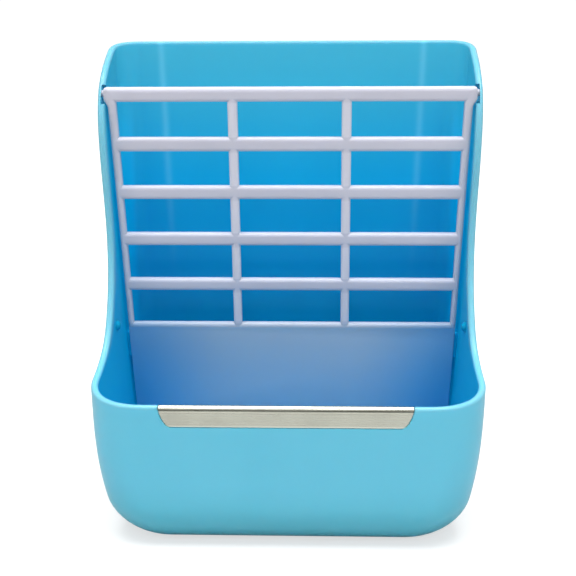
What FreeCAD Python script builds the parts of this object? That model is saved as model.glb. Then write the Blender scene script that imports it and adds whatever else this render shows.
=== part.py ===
import FreeCAD, Part
import math
import os
from FreeCAD import Vector as V

# Rabbit hay-and-feed hopper: moulded shell with a trough, hinged hay grille on
# snap-in pins, steel chew guard on the front rim and two spring-loaded hanging
# hooks at the back.
#
# Frame: X to the right, front of the feeder towards -Y, Z up, millimetres.
# Origin: on the floor plane, in the middle of the trough's flat underside.
# Depths (names with _D) count backwards from the front rim: Y = depth - MID_D.

os.makedirs("parts", exist_ok=True)

# --------------------------------------------------------------------- shell
MID_D = 54.0            # depth of the origin
DEPTH = 108.2           # front rim to outer back face
HEIGHT = 228.4          # floor to top of the back wall
RIM_Z = 70.1            # height of the trough's front rim
WALL = 3.3
FRONT_LEAN = 6.0        # the trough's front leans back this much at the floor
LEAN_SLOPE = FRONT_LEAN / RIM_Z
FLOOR_R = 20.6          # outer edge radius round the underside
RIM_RADII = (1.4, 1.2, 1.0, 0.8)        # rim roundings, in order of preference
RIM_TOLERANCE = 0.12    # how near the side outline a rim edge must run

# Plan sections: height, half-width at depth SIDE_D, half-width at the back,
# front corner radius, back corner radius. The last lies above the finished wall.
SIDE_D = 24.0
SECTIONS = (
    (0.0, 81.3, 84.5, 29.0, 20.0),
    (35.0, 87.3, 85.5, 20.5, 18.0),
    (70.0, 90.8, 86.5, 27.5, 16.0),
    (110.0, 90.9, 87.5, 27.0, 15.0),
    (170.0, 91.4, 89.1, 26.0, 14.5),
    (HEIGHT + 5.0, 92.1, 90.9, 26.0, 14.0),
)

# Side outline of the shell, front rim to top of the back: (depth, height)
SIDE_OUTLINE = [
    (-14.0, 70.1), (-6.0, 70.1), (2.0, 70.1), (10.0, 70.85), (20.0, 72.7),
    (29.0, 75.0), (38.0, 78.3), (46.0, 82.5), (52.4, 87.9), (57.6, 95.8),
    (61.5, 104.8), (64.3, 114.3), (65.9, 124.0), (66.5, 133.5), (66.1, 143.2),
    (65.0, 153.0), (63.6, 162.6), (62.3, 172.2), (61.6, 181.8), (61.9, 190.8),
    (63.5, 198.0), (66.3, 204.2), (70.3, 209.4), (75.8, 214.1), (82.4, 218.4),
    (89.5, 222.2), (97.0, 225.6), (104.5, 227.8), (112.0, 228.8), (120.0, 229.2),
]
TRIM_X = 120.0          # half-width of the trimming prism, beyond the shell
TRIM_Z = -10.0          # its underside, below the floor

# Pockets in the side walls for the grille's ears, open to the front
POCKET_Z, POCKET_R = 203.05, 4.55
POCKET_X = (80.0, 89.4)
POCKET_FRONT_D = 50.0
# Round blind sockets the pins snap into
SEAT_R = 1.68
SEAT_X = (85.0, 90.2)

# Stop nubs on the inner side walls: spheres clipped by a box
NUB_X, NUB_D, NUB_Z = 86.364, 67.0, 90.3
NUB_R = 2.474
NUB_BOX_X = 81.5        # inner face of the box
NUB_BOX_WIDTH, NUB_BOX_SIZE = 6.0, 8.0

# Rest ledges on the inner side walls, behind the lower part of the baffle
LEDGE_V = (126.0, 140.0)    # upper and lower end, down the grille's plane
LEDGE_GAP = 0.25            # clearance behind the baffle
LEDGE_DEPTH = (6.0, 5.0)    # at the upper and lower end
LEDGE_X = (79.5, 85.0)

# -------------------------------------------------------------------- grille
# In the grille's own plane v runs down the plane and n through it to the back.
TILT = math.radians(9.5)    # lower end further back
GRILLE_D, GRILLE_Z = 64.0, 206.0            # top front edge
GRILLE_THICK = 3.6
PITCH = 24.05           # bar to bar
BAR_H = (6.75, 6.7, 6.5, 6.3, 6.15)         # heights of the bars, top down
LIP_V = len(BAR_H) * PITCH                  # top lip of the solid baffle
LIP_END = LIP_V + 3.4
BAFFLE_V = LIP_END - 1.0                    # baffle sheet starts inside the lip
BAFFLE_END = 178.0
BAFFLE_N = (0.1, 2.3)                       # front and back face of the sheet
BAFFLE_CORNER, BAFFLE_CHAMFER = 7.0, 2.2    # length and middle inset of a lower corner
# Half-widths as (v, half-width)
GRILLE_HALF = ((0.0, 86.7), (LIP_V, 83.3), (BAFFLE_END, 81.3))
WINDOW_HALF = ((7.0, 82.4), (115.0, 80.7))  # to the outer edge of the windows
MULLION_HALF = ((7.0, 2.35), (115.0, 2.05))
MULLION_X = 27.1

# Ears on the top bar, right-hand outline: (x, v)
EAR_X = 88.3
EAR = ((85.0, 0.4), (EAR_X - 0.6, 0.4), (EAR_X, 1.0), (EAR_X, 4.6),
       (EAR_X - 0.5, 6.4), (86.4, 8.4), (85.0, 8.4))
# Pivot pins behind the ears, each with a pad joining it to its ear
PIN_V, PIN_N, PIN_R = 3.35, 4.2, 1.6
PIN_X = (83.5, 90.0)
PAD_END_X = 86.6
PAD_HALF = 1.9
PAD_SUNK = 1.5          # how far the pad reaches into the ear

# ---------------------------------------------------------------- chew guard
GUARD_HALF = 56.2
GUARD_FACE = 9.8        # height of the front leg
GUARD_BACK = 6.5        # height of the inner leg
GUARD_THICK = 0.7
GUARD_PROUD = 0.12      # the roll stands this much proud of the rim
GUARD_SUNK = 0.15       # the front leg lies this far below the plastic's face
GUARD_FACE_TOP = 2.6    # the front leg's flat face ends this far below the rim
GUARD_ROLL_R = 1.3      # reach of the roll at each edge of the rim
# Front of the roll: (depth, drop below the rim)
GUARD_ROLL = ((0.04, 1.6), (0.3, 0.95), (0.7, 0.45), (GUARD_ROLL_R, 0.06))
GUARD_FLAT_D = 1.65     # where the flat top begins
GUARD_BEVEL = 0.4       # bevel at the back of the top
GUARD_GAP = 0.06        # clearance of the slot in the shell
SLOT_MARGIN = 1.0       # the slot's cutter overshoots the rim by this
SLANT = 3.7             # the front leg's lower corners are cut back this much
SLANT_DROP = 3.2        # the slants start this far below the rim
SLANT_MARGIN = 3.0
SLANT_D = (-6.0, 1.9)   # the slanted cuts stop short of the inner leg

# ------------------------------------------------------------- hanging hooks
HOOK_X = 63.0
HOOK_R = 1.5
HOOK_D = DEPTH + 5.2    # depth of the shank
HOOK_LOW, HOOK_BEND_Z, HOOK_TIP = 136.0, 213.0, 198.0
HOOK_BEND_R = 5.5
LUG_UP = (188.0, 195.0)         # bottom and top
LUG_LOW = (146.0, 152.0)
LUG_R = 5.5
LUG_HOLE_R = 1.58
LUG_ROOT = 1.0                  # the lugs start this deep in the back wall
WASHER = (162.8, 164.0)
WASHER_R = 4.6
WASHER_GAP = 0.01
SPRING_WIRE_R = 0.45
SPRING_R = 2.9
SPRING_TURNS = 8
SPRING_GAP = 0.06               # between the coil's ends and their seats
OVERCUT = 1.0                   # cutters pass the faces they cut by this


# ------------------------------------------------------------------- helpers
def lerp(table, key, column=1):
    """Value in a table's column at key, the first column being the keys."""
    for low, high in zip(table, table[1:]):
        if key <= high[0]:
            break
    return low[column] + (high[column] - low[column]) * (key - low[0]) / (high[0] - low[0])


def point(x, depth, z):
    return V(x, depth - MID_D, z)


def prism(points, along):
    return Part.Face(Part.makePolygon(points + points[:1])).extrude(along)


def prism_x(outline, x0, x1):
    """Prism across X from (depth, height) points."""
    return prism([point(x0, d, z) for d, z in outline], V(x1 - x0, 0, 0))


def cylinder_x(depth, z, radius, x0, x1):
    return Part.makeCylinder(radius, x1 - x0, point(x0, depth, z), V(1, 0, 0))


def mirror_x(shape):
    return shape.mirror(V(0, 0, 0), V(1, 0, 0))


def on_grille(v, n):
    """Depth and height of a place given in the grille's plane."""
    return (GRILLE_D + v * math.sin(TILT) + n * math.cos(TILT),
            GRILLE_Z - v * math.cos(TILT) + n * math.sin(TILT))


def grille_plate(outline, n0, n1):
    """Plate in the grille's plane from (x, v) points, between n0 and n1."""
    front = [point(x, *on_grille(v, n0)) for x, v in outline]
    return prism(front, point(0, *on_grille(0, n1)) - point(0, *on_grille(0, n0)))


def symmetric_plate(right, n0, n1):
    """Grille plate from the right-hand half of its outline, top down."""
    return grille_plate(right + [(-x, v) for x, v in reversed(right)], n0, n1)


PIN_D, PIN_Z = on_grille(PIN_V, PIN_N)


# --------------------------------------------------------------------- shell
def plan(z, inset):
    """Closed plan outline of the shell at height z, moved inwards by inset."""
    half_front, half_back, r_front, r_back = (lerp(SECTIONS, z, i) for i in range(1, 5))
    slope = (half_back - half_front) / (DEPTH - SIDE_D)
    cos, sin = 1 / math.hypot(1, slope), slope / math.hypot(1, slope)

    def corner(line_d, inward, radius):
        """Right-hand arc tangent to the side and to the line at line_d."""
        centre_d = line_d + inward * radius
        centre_x = half_front + slope * (centre_d - SIDE_D) - inset - radius / cos
        middle = (math.atan2(-inward, 0.0) + math.atan2(-sin, cos)) / 2
        return (point(centre_x, line_d, z),
                point(centre_x + radius * math.cos(middle),
                      centre_d + radius * math.sin(middle), z),
                point(centre_x + radius * cos, centre_d - radius * sin, z))

    front_d = FRONT_LEAN * (1 - z / RIM_Z) + inset
    front = corner(front_d, 1, r_front - inset)
    back = corner(DEPTH - inset, -1, r_back - inset)[::-1]
    front_left, back_left = ([V(-p.x, p.y, p.z) for p in arc] for arc in (front, back))
    return Part.Wire([
        Part.makeLine(front_left[0], front[0]),
        Part.Arc(*front).toShape(),
        Part.makeLine(front[2], back[0]),
        Part.Arc(*back).toShape(),
        Part.makeLine(back[2], back_left[2]),
        Part.Arc(*back_left[::-1]).toShape(),
        Part.makeLine(back_left[0], front_left[2]),
        Part.Arc(*front_left[::-1]).toShape(),
    ])


def body(inset, bottom, floor_r):
    """Drafted solid of the shell's outside (inset 0) or of its hollow."""
    heights = [bottom] + [row[0] for row in SECTIONS if row[0] > bottom + 1]
    solid = Part.makeLoft([plan(z, inset) for z in heights], True, False)
    low = [e for e in solid.Edges
           if all(abs(v.Z - bottom) < 1e-6 for v in e.Vertexes)]
    return solid.makeFillet(floor_r, low)


def side_curve():
    curve = Part.BSplineCurve()
    curve.interpolate([point(-TRIM_X, d, z) for d, z in SIDE_OUTLINE])
    return curve


def side_prism():
    """Everything behind and below the side outline, across the whole width."""
    curve = side_curve()
    start, end = curve.StartPoint, curve.EndPoint
    corners = [end, V(-TRIM_X, end.y, TRIM_Z), V(-TRIM_X, start.y, TRIM_Z), start]
    edges = [curve.toShape()]
    edges += [Part.makeLine(p, q) for p, q in zip(corners, corners[1:])]
    return Part.Face(Part.Wire(edges)).extrude(V(2 * TRIM_X, 0, 0))


def soften_rim(shell):
    """Round the long edges that lie on the side outline or at full height."""
    line = [(p.y, p.z) for p in side_curve().discretize(3000)]

    def on_rim(edge):
        for p in edge.discretize(7):
            if abs(p.z - HEIGHT) < 1e-4:
                continue
            if min(math.hypot(p.y - y, p.z - z) for y, z in line) > RIM_TOLERANCE:
                return False
        return edge.Length > 2 * WALL

    edges = [e for e in shell.Edges if on_rim(e)]
    for radius in RIM_RADII:
        # the kernel may refuse a radius; the next smaller one is then used
        try:
            softer = shell.makeFillet(radius, edges)
        except Exception:
            continue
        if softer.isValid() and len(softer.Solids) == 1:
            return softer
    return shell


def ear_pocket():
    pocket = cylinder_x(PIN_D, POCKET_Z, POCKET_R, *POCKET_X)
    low, high = POCKET_Z - POCKET_R, POCKET_Z + POCKET_R
    return pocket.fuse(prism_x([(POCKET_FRONT_D, low), (PIN_D, low),
                                (PIN_D, high), (POCKET_FRONT_D, high)], *POCKET_X))


def stop_nub():
    reach = NUB_BOX_SIZE / 2
    box = Part.makeBox(NUB_BOX_WIDTH, NUB_BOX_SIZE, NUB_BOX_SIZE,
                       point(NUB_BOX_X, NUB_D - reach, NUB_Z - reach))
    return Part.makeSphere(NUB_R, point(NUB_X, NUB_D, NUB_Z)).common(box)


def rest_ledge():
    (top_d, top_z), (low_d, low_z) = (on_grille(v, BAFFLE_N[1] + LEDGE_GAP) for v in LEDGE_V)
    return prism_x([(top_d, top_z), (top_d + LEDGE_DEPTH[0], top_z),
                    (low_d + LEDGE_DEPTH[1], low_z), (low_d, low_z)], *LEDGE_X)


def add_lug(shell, x, z0, z1):
    """Guide lug of a hanging hook, moulded on the back and bored through."""
    lug = Part.makeBox(2 * LUG_R, HOOK_D - DEPTH + LUG_ROOT, z1 - z0,
                       point(x - LUG_R, DEPTH - LUG_ROOT, z0))
    lug = lug.fuse(Part.makeCylinder(LUG_R, z1 - z0, point(x, HOOK_D, z0)))
    hole = Part.makeCylinder(LUG_HOLE_R, z1 - z0 + 2 * OVERCUT,
                             point(x, HOOK_D, z0 - OVERCUT))
    return shell.fuse(lug).cut(hole)


def hopper_shell():
    shell = body(0.0, 0.0, FLOOR_R)
    shell = shell.cut(body(WALL, WALL, FLOOR_R - WALL)).common(side_prism())
    shell = soften_rim(shell)
    for cutter in (ear_pocket(), cylinder_x(PIN_D, PIN_Z, SEAT_R, *SEAT_X)):
        shell = shell.cut(cutter).cut(mirror_x(cutter))
    for added in (stop_nub(), rest_ledge()):
        shell = shell.fuse(added).fuse(mirror_x(added))
    for x in (-HOOK_X, HOOK_X):
        for span in (LUG_UP, LUG_LOW):
            shell = add_lug(shell, x, *span)
    return shell.cut(guard_prism(GUARD_GAP)).removeSplitter()


# ---------------------------------------------------------------- chew guard
def guard_section(gap):
    """Section over the rim as (depth, height): the strip at gap 0, else its slot."""
    def lean(z):
        return LEAN_SLOPE * (RIM_Z - z)

    face_z = RIM_Z - GUARD_FACE - gap
    back_z = RIM_Z - GUARD_BACK - gap
    roll_z = RIM_Z - GUARD_ROLL_R
    under_z = RIM_Z - GUARD_THICK - gap
    if gap == 0:
        face_top = RIM_Z - GUARD_FACE_TOP
        top = RIM_Z + GUARD_PROUD
        outer = [(lean(face_z) + GUARD_SUNK, face_z), (lean(face_top) + GUARD_SUNK, face_top)]
        outer += [(d, RIM_Z - drop) for d, drop in GUARD_ROLL]
        outer += [(GUARD_FLAT_D, top), (WALL - GUARD_ROLL_R, top),
                  (WALL - GUARD_BEVEL, top - GUARD_BEVEL)]
    else:
        ahead = GUARD_PROUD + 3 * gap
        outer = [(lean(face_z) - ahead, face_z), (lean(roll_z) - ahead, roll_z),
                 (-SLOT_MARGIN, RIM_Z + SLOT_MARGIN),
                 (WALL + SLOT_MARGIN, RIM_Z + SLOT_MARGIN)]
    inner = [(WALL + lean(roll_z) + 3 * gap, roll_z),
             (WALL + lean(back_z) + 3 * gap, back_z),
             (WALL + lean(back_z) - GUARD_THICK - gap, back_z),
             (WALL - GUARD_THICK - gap, under_z),
             (GUARD_THICK + gap, under_z),
             (lean(face_z) + GUARD_THICK + gap, face_z)]
    return outer + inner


def guard_prism(gap):
    half = GUARD_HALF + gap
    guard = prism_x(guard_section(gap), -half, half)
    # lower corners of the front leg cut back on a slant
    start_z, face_z = RIM_Z - SLANT_DROP, RIM_Z - GUARD_FACE - gap
    corner = [(half, start_z), (half + SLANT_MARGIN, start_z),
              (half + SLANT_MARGIN, face_z - SLANT_MARGIN),
              (half - SLANT, face_z - SLANT_MARGIN), (half - SLANT, face_z)]
    for side in (1, -1):
        guard = guard.cut(prism([point(side * x, SLANT_D[0], z) for x, z in corner],
                                V(0, SLANT_D[1] - SLANT_D[0], 0)))
    return guard


# -------------------------------------------------------------------- grille
def window_spans(v):
    """Left and right limits of the three windows at v."""
    outer, mullion = lerp(WINDOW_HALF, v), lerp(MULLION_HALF, v)
    return ((-outer, -MULLION_X - mullion),
            (-MULLION_X + mullion, MULLION_X - mullion),
            (MULLION_X + mullion, outer))


def baffle():
    end = lerp(GRILLE_HALF, BAFFLE_END)
    corner_v = BAFFLE_END - BAFFLE_CORNER
    return symmetric_plate([(lerp(GRILLE_HALF, BAFFLE_V), BAFFLE_V),
                            (lerp(GRILLE_HALF, corner_v), corner_v),
                            (end - BAFFLE_CHAMFER, BAFFLE_END - BAFFLE_CHAMFER),
                            (end - BAFFLE_CORNER, BAFFLE_END)], *BAFFLE_N)


def hay_grille():
    grille = symmetric_plate([(lerp(GRILLE_HALF, v), v) for v in (0, LIP_V, LIP_END)],
                             0, GRILLE_THICK)
    for i, bar in enumerate(BAR_H):
        top, low = i * PITCH + bar, (i + 1) * PITCH
        for (left, right), (low_left, low_right) in zip(window_spans(top), window_spans(low)):
            grille = grille.cut(grille_plate(
                [(left, top), (right, top), (low_right, low), (low_left, low)],
                -OVERCUT, GRILLE_THICK + OVERCUT))
    grille = grille.fuse(baffle())

    pin = cylinder_x(PIN_D, PIN_Z, PIN_R, *PIN_X)
    pad_top, pad_low = PIN_V - PAD_HALF, PIN_V + PAD_HALF
    pin = pin.fuse(grille_plate([(PIN_X[0], pad_top), (PAD_END_X, pad_top),
                                 (PAD_END_X, pad_low), (PIN_X[0], pad_low)],
                                GRILLE_THICK - PAD_SUNK, PIN_N))
    for side, side_pin in ((1, pin), (-1, mirror_x(pin))):
        ear = grille_plate([(side * x, v) for x, v in EAR], 0, GRILLE_THICK)
        grille = grille.fuse(ear).fuse(side_pin)
    return grille.removeSplitter()


# --------------------------------------------------------------------- hooks
def hook(x):
    foot, bend = point(x, HOOK_D, HOOK_LOW), point(x, HOOK_D, HOOK_BEND_Z)
    crown = point(x, HOOK_D + HOOK_BEND_R, HOOK_BEND_Z + HOOK_BEND_R)
    back_d = HOOK_D + 2 * HOOK_BEND_R
    bend_end, tip = point(x, back_d, HOOK_BEND_Z), point(x, back_d, HOOK_TIP)
    path = Part.Wire([Part.makeLine(foot, bend),
                      Part.Arc(bend, crown, bend_end).toShape(),
                      Part.makeLine(bend_end, tip)])
    ring = Part.Wire([Part.makeCircle(HOOK_R, foot, V(0, 0, 1))])
    return path.makePipeShell([ring], True, False).fuse(Part.makeSphere(HOOK_R, tip))


def spring(x):
    """Coil between the washer and the upper lug."""
    z0 = WASHER[1] + SPRING_WIRE_R + SPRING_GAP
    length = LUG_UP[0] - SPRING_WIRE_R - SPRING_GAP - z0
    helix = Part.makeHelix(length / SPRING_TURNS, length, SPRING_R)
    ring = Part.Wire([Part.makeCircle(SPRING_WIRE_R, V(SPRING_R, 0, 0), V(0, 1, 0))])
    coil = Part.Wire(helix.Edges).makePipeShell([ring], True, True)
    coil.translate(point(x, HOOK_D, z0))
    return coil


def washer(x):
    z0, z1 = WASHER
    disc = Part.makeCylinder(WASHER_R, z1 - z0, point(x, HOOK_D, z0))
    return disc.cut(Part.makeCylinder(HOOK_R + WASHER_GAP, z1 - z0 + 2 * OVERCUT,
                                      point(x, HOOK_D, z0 - OVERCUT)))


# -------------------------------------------------------------------- export
parts = {
    "hopper_shell": hopper_shell(),
    "hay_grille": hay_grille(),
    "chew_guard": guard_prism(0.0),
}
for side, x in (("left", -HOOK_X), ("right", HOOK_X)):
    parts["hook_" + side] = hook(x)
    parts["hook_spring_" + side] = spring(x)
    parts["hook_washer_" + side] = washer(x)

for name, shape in parts.items():
    if len(shape.Solids) == 1:
        shape = shape.Solids[0]
    shape.exportStep("parts/%s.step" % name)
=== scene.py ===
"""Rabbit hay-and-feed hopper: a blue trough with a raised back, a lavender hay grille, a steel
strip over the front rim and two sprung wire hooks behind.
x runs across, y from front to back, z up from the floor. Helpers work in millimetres as
(x, D, z), where D is the depth behind the front rim's plane (y = D - MID_D); meshes are in metres."""
import math
import bpy
import bmesh
import numpy as np
from mathutils import Matrix, Vector
from mathutils.kdtree import KDTree


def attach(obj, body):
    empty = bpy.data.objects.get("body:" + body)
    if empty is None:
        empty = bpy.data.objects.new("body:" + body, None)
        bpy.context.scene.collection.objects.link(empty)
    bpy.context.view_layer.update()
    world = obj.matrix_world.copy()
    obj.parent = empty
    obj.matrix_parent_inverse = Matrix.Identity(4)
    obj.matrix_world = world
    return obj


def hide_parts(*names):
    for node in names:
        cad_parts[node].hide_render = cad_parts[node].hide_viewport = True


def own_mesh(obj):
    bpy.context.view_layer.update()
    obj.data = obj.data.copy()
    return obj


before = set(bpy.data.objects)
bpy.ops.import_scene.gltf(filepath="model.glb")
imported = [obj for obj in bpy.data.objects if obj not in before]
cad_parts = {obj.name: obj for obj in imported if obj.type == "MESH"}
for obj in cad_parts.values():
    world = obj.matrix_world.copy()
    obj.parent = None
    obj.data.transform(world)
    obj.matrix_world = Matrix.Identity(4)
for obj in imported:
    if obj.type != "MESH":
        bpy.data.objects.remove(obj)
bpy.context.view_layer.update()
SC = bpy.context.scene
MM = 0.001
PI = math.pi

# ------------------------------------------------------------------ dimensions
# shell
MID_D = 54.0            # depth of the frame's y = 0
DEPTH = 108.2
RIM_Z = 70.1            # height of the front rim
WALL = 3.3
GAUGE_D = 24.0          # depth at which the front half-widths are taken
LEVELS = (0.0, 35.0, 70.0, 110.0, 170.0, 233.4)         # heights of the four rows below
FRONT_HALF = (81.3, 87.3, 90.8, 90.9, 91.4, 92.1)
BACK_HALF = (84.5, 85.5, 86.5, 87.5, 89.1, 90.9)
FRONT_CORNER_R = (29.0, 20.5, 27.5, 27.0, 26.0, 26.0)
BACK_CORNER_R = (20.0, 18.0, 16.0, 15.0, 14.5, 14.0)
FRONT_LEAN = 6.0        # how far the front wall's foot stands behind its rim
LEAN = FRONT_LEAN / RIM_Z
FLOOR_R = 20.6          # outer radius between walls and floor
RIM_ROUND = 1.4
# side view of the rim, (D, z) from the front trough up to the back's crest
SIDE_EDGE = [
    (-14.0, 70.1), (-6.0, 70.1), (2.0, 70.1), (10.0, 70.85), (20.0, 72.7), (29.0, 75.0),
    (38.0, 78.3), (46.0, 82.5), (52.4, 87.9), (57.6, 95.8), (61.5, 104.8), (64.3, 114.3),
    (65.9, 124.0), (66.5, 133.5), (66.1, 143.2), (65.0, 153.0), (63.6, 162.6), (62.3, 172.2),
    (61.6, 181.8), (61.9, 190.8), (63.5, 198.0), (66.3, 204.2), (70.3, 209.4), (75.8, 214.1),
    (82.4, 218.4), (89.5, 222.2), (97.0, 225.6), (104.5, 227.8), (112.0, 228.8), (120.0, 229.2)]
RIB_HEIGHT = 0.16       # of the two upright marks inside the back wall
RIB_X, RIB_TOP_Z, RIB_SLANT, RIB_WIDTH = 65.6, 215, 0.035, 1.7
NUB_X, NUB_D, NUB_Z = 85.59, 67.0, 90.3

# Grille, in its own plane: v runs down its slope from the top edge, n from its front face
# towards the back. Tables of half-widths are (v, x).
TILT = math.radians(9.5)
GRILLE_D, GRILLE_Z = 64.0, 206.0
GRILLE_THICK = 3.6
PITCH = 24.05           # from one bar's top to the next
BAR_HEIGHTS = (6.75, 6.7, 6.5, 6.3, 6.15)
LIP_V, LIP_HEIGHT = 5 * PITCH, 3.4
BAFFLE_END = 178.0
BAFFLE_N = (0.1, 2.3)   # front and back faces of the solid lower sheet
GRILLE_HALF = ((0.0, 86.7), (LIP_V, 83.3), (BAFFLE_END, 81.3))
WINDOW_HALF = ((7.0, 82.4), (115.0, 80.7))
MULLION_X, MULLION_HALF = 27.1, ((7.0, 2.35), (115.0, 2.05))
EAR_X, EAR_END_V, EAR_BLEND = 88.3, 9.6, 4.4
PIN_V, PIN_N, PIN_R, PIN_X = 3.35, 4.2, 1.6, 90.0
PAD_X0, PAD_X1, PAD_HALF = 83.4, 86.5, 1.85
POCKET_Z, POCKET_R, POCKET_X = 203.05, 4.55, 89.4
SEAT_R, SEAT_X = 1.68, 90.2

# hooks behind the shell, with their eyes, washers and springs
HOOK_X, HOOK_R, HOOK_D = 63.0, 1.5, DEPTH + 5.2
HOOK_LOW, HOOK_BEND_Z, HOOK_BEND_R, HOOK_TIP = 136.0, 213.0, 5.5, 198.0
LUG_UP, LUG_LOW = (188.0, 195.0), (146.0, 152.0)
LUG_R, LUG_HOLE_R, LUG_EDGE_R = 5.5, 1.58, 0.9
WASHER, WASHER_R, WASHER_THICK = (162.8, 164.0), 4.6, 0.45
SPRING_R, SPRING_WIRE_R, SPRING_TURNS = 2.9, 0.45, 8

# steel strip folded over the front rim
GUARD_HALF, GUARD_FACE, GUARD_BACK, GUARD_THICK = 56.2, 9.8, 6.5, 0.7
GUARD_SUNK = 0.15
GUARD_GAP = 0.3         # round the strip in its recess
GUARD_FOOT = RIM_Z - GUARD_FACE
GUARD_BACK_FOOT = RIM_Z - GUARD_BACK
# front leg: (height above its foot, half-length); the lower corners run in on a slant
GUARD_ENDS = np.array([
    (-1.0, 50.4), (0.0, 51.0), (0.1, 51.45), (0.45, 52.2), (1.0, 52.85), (1.8, 53.5),
    (2.8, 54.12), (3.8, 54.62), (5.0, 55.15), (6.2, 55.6), (7.4, 55.98), (8.4, GUARD_HALF)])


# -------------------------------------------------------------------- helpers
def cubic(xs, ys):
    """Natural cubic spline through (xs, ys), as a function of an array."""
    xs, ys = np.asarray(xs, float), np.asarray(ys, float)
    count = len(xs)
    step = np.diff(xs)
    matrix = np.zeros((count, count))
    right = np.zeros(count)
    matrix[0, 0] = matrix[-1, -1] = 1.0
    for i in range(1, count - 1):
        matrix[i, i - 1:i + 2] = step[i - 1], 2 * (step[i - 1] + step[i]), step[i]
        right[i] = 6 * ((ys[i + 1] - ys[i]) / step[i] - (ys[i] - ys[i - 1]) / step[i - 1])
    bend = np.linalg.solve(matrix, right)

    def spline(x):
        x = np.asarray(x, float)
        i = np.clip(np.searchsorted(xs, x) - 1, 0, count - 2)
        h = step[i]
        left, after = xs[i + 1] - x, x - xs[i]
        return (bend[i] * left ** 3 + bend[i + 1] * after ** 3) / (6 * h) \
            + (ys[i] / h - bend[i] * h / 6) * left + (ys[i + 1] / h - bend[i + 1] * h / 6) * after
    return spline


def table(rows, at):
    """Linear interpolation in rows of (position, value), held beyond the ends."""
    return np.interp(np.asarray(at, float), [r[0] for r in rows], [r[1] for r in rows])


def line(ends, at):
    """Straight line through two (position, value) ends, carried on beyond them."""
    (v0, a0), (v1, a1) = ends
    return a0 + (a1 - a0) * (np.asarray(at, float) - v0) / (v1 - v0)


def ease(t):
    t = np.clip(t, 0, 1)
    return t * t * (3 - 2 * t)


def to_m(points):
    """(x, D, z) in millimetres to the frame's metres."""
    q = np.array(points, float)
    q[..., 1] -= MID_D
    return q * MM


def link(name, data):
    ob = bpy.data.objects.new(name, data)
    SC.collection.objects.link(ob)
    return ob


def new_mesh(name, verts, faces, smooth=True):
    me = bpy.data.meshes.new(name)
    me.from_pydata([tuple(v) for v in verts], [], [tuple(f) for f in faces])
    me.validate()
    ob = link(name, me)
    for poly in me.polygons:
        poly.use_smooth = smooth
    return ob


def clean(ob, dist=1e-6, sharp=30.0):
    """Merge doubles, make normals consistent and mark sharp edges by angle."""
    bm = bmesh.new()
    bm.from_mesh(ob.data)
    bmesh.ops.remove_doubles(bm, verts=bm.verts, dist=dist)
    bmesh.ops.dissolve_degenerate(bm, edges=bm.edges, dist=dist)
    bmesh.ops.recalc_face_normals(bm, faces=bm.faces)
    limit = math.radians(sharp)
    for e in bm.edges:
        e.smooth = not (len(e.link_faces) == 2 and e.calc_face_angle(0.0) > limit)
    for f in bm.faces:
        f.smooth = True
    bm.to_mesh(ob.data)
    bm.free()
    ob.data.update()
    return ob


def boolean(ob, tool, operation):
    """Apply an exact boolean and remove the tool."""
    mod = ob.modifiers.new("b", "BOOLEAN")
    mod.operation = operation
    mod.solver = "EXACT"
    mod.object = tool
    graph = bpy.context.evaluated_depsgraph_get()
    me = bpy.data.meshes.new_from_object(ob.evaluated_get(graph), preserve_all_data_layers=True,
                                         depsgraph=graph)
    ob.modifiers.clear()
    old = ob.data
    ob.data = me
    bpy.data.meshes.remove(old)
    bpy.data.objects.remove(tool)


def loft(name, rings, wrap=False):
    """Mesh through equal closed rings, capped at both ends or, with wrap, joined end to end."""
    count, size = len(rings), len(rings[0])
    verts = [tuple(p) for ring in rings for p in ring]
    faces = []
    for k in range(count if wrap else count - 1):
        a, b = k * size, (k + 1) % count * size
        for i in range(size):
            j = (i + 1) % size
            faces.append((a + i, a + j, b + j, b + i))
    if not wrap:
        faces.append(tuple(range(size))[::-1])
        faces.append(tuple((count - 1) * size + i for i in range(size)))
    return new_mesh(name, verts, faces)


def join(*obs):
    """One object holding the separate closed meshes of several."""
    bm = bmesh.new()
    for ob in obs:
        bm.from_mesh(ob.data)
    name = obs[0].name
    me = bpy.data.meshes.new(name)
    bm.to_mesh(me)
    bm.free()
    for ob in obs:
        bpy.data.objects.remove(ob)
    return link(name, me)


def both_sides(ob):
    """One object holding ob and its mirror image across x = 0."""
    me = ob.data.copy()
    me.transform(Matrix.Scale(-1, 4, (1, 0, 0)))
    me.flip_normals()
    return join(ob, link("mirrored", me))


def circle(centre, radius, count, axis="x"):
    """Ring in metres about an axis along x or z through centre (x, D, z)."""
    x, d, z = centre
    turns = [2 * PI * i / count for i in range(count)]
    if axis == "x":
        return to_m([(x, d + radius * math.cos(t), z + radius * math.sin(t)) for t in turns])
    return to_m([(x + radius * math.cos(t), d + radius * math.sin(t), z) for t in turns])


def prism_x(name, outline, x0, x1):
    """A (D, z) outline drawn out along x."""
    return clean(loft(name, [to_m([(x, d, z) for d, z in outline]) for x in (x0, x1)]))


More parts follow.
